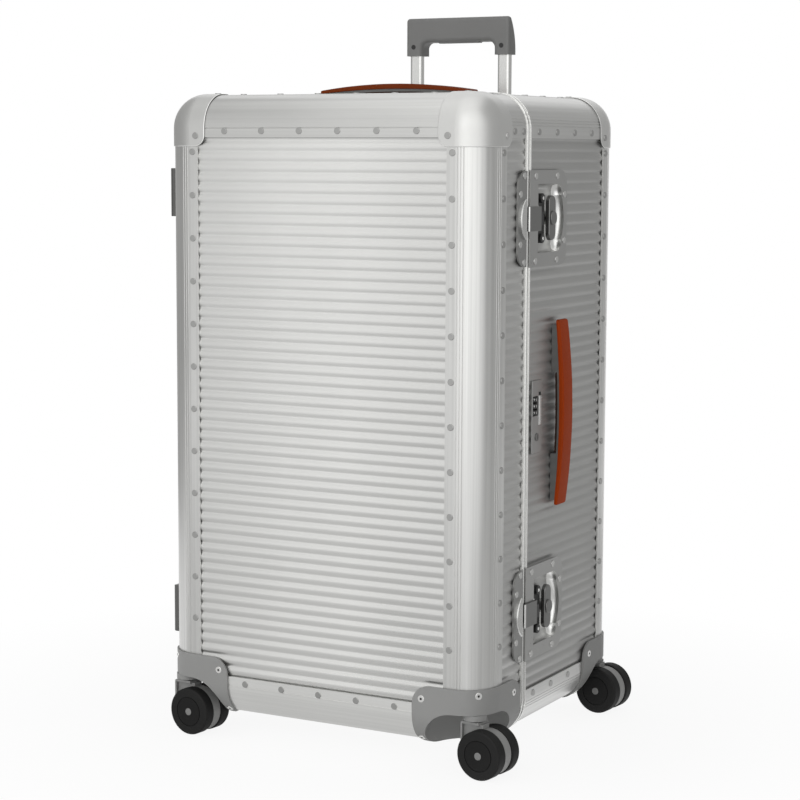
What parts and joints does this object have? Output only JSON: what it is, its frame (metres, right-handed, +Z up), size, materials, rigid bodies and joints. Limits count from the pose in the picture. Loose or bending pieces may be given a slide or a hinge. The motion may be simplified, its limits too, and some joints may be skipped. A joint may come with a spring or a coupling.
{
  "type": "rolling trunk",
  "caption": "Tall corrugated aluminium rolling trunk with a hinged front lid, twist latches, leather handles, pull handle and twin-wheel swivel casters.",
  "frame": {"origin": "on the floor under the centre of the case", "axes": "+Z up, -Y towards the corrugated lid front, +X towards the latch side, -X the hinge side"},
  "size_m": [0.4939, 0.399, 0.9085],
  "materials": {
    "sheet_aluminium": "satin, corrugated",
    "edge_aluminium": "satin, brushed along the edge",
    "rim_aluminium": "bright satin",
    "cap_satin": "smooth satin",
    "rivet_metal": "satin",
    "screw_steel": "bright",
    "grey_plastic": "matte grey",
    "wheel_black": "matte black",
    "dark_metal": "dark grey paint",
    "latch_satin": "satin plate, bright dish",
    "latch_black": "black",
    "latch_steel": "grey satin",
    "tube_aluminium": "bright anodised",
    "leather": "cognac, semi-matte",
    "lining_fabric": "woven",
    "seal_rubber": "matte"
  },
  "bodies": {
    "case": {"case_bottom_panel": "sheet_aluminium", "case_corner_caps": "cap_satin", "case_corner_edges": "edge_aluminium", "case_housing_screws": "screw_steel", "case_lining": "lining_fabric", "case_rear_panel": "sheet_aluminium", "case_rear_rails": "edge_aluminium", "case_rear_stiles": "edge_aluminium", "case_rim": "rim_aluminium", "case_rivets": "rivet_metal", "case_seal": "seal_rubber", "case_side_panel_left": "sheet_aluminium", "case_side_panel_right": "sheet_aluminium", "case_top_panel": "sheet_aluminium", "case_wheel_housings": "grey_plastic", "handle_bezel": "grey_plastic", "handle_brackets": "dark_metal", "handle_sleeves": "tube_aluminium", "hinge_case_leaves": "dark_metal", "hinge_pins": "screw_steel", "latch_blocks": "latch_black", "latch_dishes": "latch_satin", "lock_plate": "latch_steel", "side_strap": "leather", "top_strap": "leather"},
    "lid": {"lid_corner_caps": "cap_satin", "lid_corner_edges": "edge_aluminium", "lid_end_panels": "sheet_aluminium", "lid_front_panel": "sheet_aluminium", "lid_front_rails": "edge_aluminium", "lid_front_stiles": "edge_aluminium", "lid_housing_screws": "screw_steel", "lid_lining": "lining_fabric", "lid_rim": "rim_aluminium", "lid_rivets": "rivet_metal", "lid_side_panels": "sheet_aluminium", "lid_wheel_housings": "grey_plastic", "latch_keepers": "latch_satin", "hinge_lid_leaves": "dark_metal"},
    "pull_handle": {"grip": "grey_plastic", "grip_tubes": "tube_aluminium", "grip_plugs": "latch_black"},
    "grip_button": {"grip_button": "grey_plastic"},
    "latch_hook_lower": {"latch_hook_lower": "latch_steel"},
    "latch_hook_upper": {"latch_hook_upper": "latch_steel"},
    "latch_lever_lower": {"latch_lever_lower": "latch_steel"},
    "latch_lever_upper": {"latch_lever_upper": "latch_steel"},
    "lock_dial_1": {"lock_dial_1": "latch_black"},
    "lock_dial_2": {"lock_dial_2": "latch_black"},
    "lock_dial_3": {"lock_dial_3": "latch_black"},
    "lock_key": {"lock_key": "latch_steel"},
    "lock_slider": {"lock_slider": "latch_steel"},
    "caster_fork_front_left": {"caster_fork_front_left": "grey_plastic"},
    "caster_wheels_front_left": {"caster_wheels_front_left": "wheel_black"},
    "caster_fork_front_right": {"caster_fork_front_right": "grey_plastic"},
    "caster_wheels_front_right": {"caster_wheels_front_right": "wheel_black"},
    "caster_fork_rear_left": {"caster_fork_rear_left": "grey_plastic"},
    "caster_wheels_rear_left": {"caster_wheels_rear_left": "wheel_black"},
    "caster_fork_rear_right": {"caster_fork_rear_right": "grey_plastic"},
    "caster_wheels_rear_right": {"caster_wheels_rear_right": "wheel_black"}
  },
  "joints": [
    {"name": "lid_hinge", "type": "hinge", "parent": "case", "child": "lid", "pos_m": [-0.234, -0.082, 0.4145], "axis": [0, 0, -1], "range_deg": [0, 105]},
    {"name": "caster_swivel_front_left", "type": "hinge", "parent": "lid", "child": "caster_fork_front_left", "pos_m": [-0.2034, -0.1734, 0.066], "axis": [0, 0, 1], "continuous": true},
    {"name": "caster_roll_front_left", "type": "hinge", "parent": "caster_fork_front_left", "child": "caster_wheels_front_left", "pos_m": [-0.18441, -0.1754, 0.0295], "axis": [0.1045, 0.9945, 0], "continuous": true},
    {"name": "caster_swivel_front_right", "type": "hinge", "parent": "lid", "child": "caster_fork_front_right", "pos_m": [0.2034, -0.1734, 0.066], "axis": [0, 0, 1], "continuous": true},
    {"name": "caster_roll_front_right", "type": "hinge", "parent": "caster_fork_front_right", "child": "caster_wheels_front_right", "pos_m": [0.2224, -0.1754, 0.0295], "axis": [0.1045, 0.9945, 0], "continuous": true},
    {"name": "caster_swivel_rear_left", "type": "hinge", "parent": "case", "child": "caster_fork_rear_left", "pos_m": [-0.2034, 0.1734, 0.066], "axis": [0, 0, 1], "continuous": true},
    {"name": "caster_roll_rear_left", "type": "hinge", "parent": "caster_fork_rear_left", "child": "caster_wheels_rear_left", "pos_m": [-0.18441, 0.1714, 0.0295], "axis": [0.1045, 0.9945, 0], "continuous": true},
    {"name": "caster_swivel_rear_right", "type": "hinge", "parent": "case", "child": "caster_fork_rear_right", "pos_m": [0.2034, 0.1734, 0.066], "axis": [0, 0, 1], "continuous": true},
    {"name": "caster_roll_rear_right", "type": "hinge", "parent": "caster_fork_rear_right", "child": "caster_wheels_rear_right", "pos_m": [0.2224, 0.1714, 0.0295], "axis": [0.1045, 0.9945, 0], "continuous": true},
    {"name": "latch_turn_upper", "type": "hinge", "parent": "case", "child": "latch_lever_upper", "pos_m": [0.224, -0.0205, 0.653], "axis": [1, 0, 0], "range_deg": [0, 180]},
    {"name": "latch_slide_upper", "type": "slide", "parent": "case", "child": "latch_hook_upper", "axis": [0, -1, 0], "range_m": [0, 0.005]},
    {"name": "latch_turn_lower", "type": "hinge", "parent": "case", "child": "latch_lever_lower", "pos_m": [0.224, -0.0205, 0.176], "axis": [1, 0, 0], "range_deg": [0, 180]},
    {"name": "latch_slide_lower", "type": "slide", "parent": "case", "child": "latch_hook_lower", "axis": [0, -1, 0], "range_m": [0, 0.005]},
    {"name": "dial_turn_1", "type": "hinge", "parent": "case", "child": "lock_dial_1", "pos_m": [0.2195, -0.059, 0.4358], "axis": [0, 0, 1], "continuous": true},
    {"name": "dial_turn_2", "type": "hinge", "parent": "case", "child": "lock_dial_2", "pos_m": [0.2195, -0.059, 0.4278], "axis": [0, 0, 1], "continuous": true},
    {"name": "dial_turn_3", "type": "hinge", "parent": "case", "child": "lock_dial_3", "pos_m": [0.2195, -0.059, 0.4198], "axis": [0, 0, 1], "continuous": true},
    {"name": "lock_slide", "type": "slide", "parent": "case", "child": "lock_slider", "axis": [0, 0, 1], "range_m": [0, 0.004], "stiffness_N_per_m": 150, "springref_m": -0.002},
    {"name": "key_turn", "type": "hinge", "parent": "case", "child": "lock_key", "pos_m": [0.224, -0.054, 0.3897], "axis": [1, 0, 0], "range_deg": [0, 90]},
    {"name": "handle_slide", "type": "slide", "parent": "case", "child": "pull_handle", "axis": [0, 0, 1], "range_m": [-0.055, 0.195]},
    {"name": "button_press", "type": "slide", "parent": "pull_handle", "child": "grip_button", "axis": [0, 0, 1], "range_m": [0, 0.003], "stiffness_N_per_m": 300, "springref_m": -0.002}
  ],
  "couplings": [
    {"joint": "latch_slide_upper", "follows": "latch_turn_upper", "m_per_rad": 0.0015914},
    {"joint": "latch_slide_lower", "follows": "latch_turn_lower", "m_per_rad": 0.0015914}
  ]
}
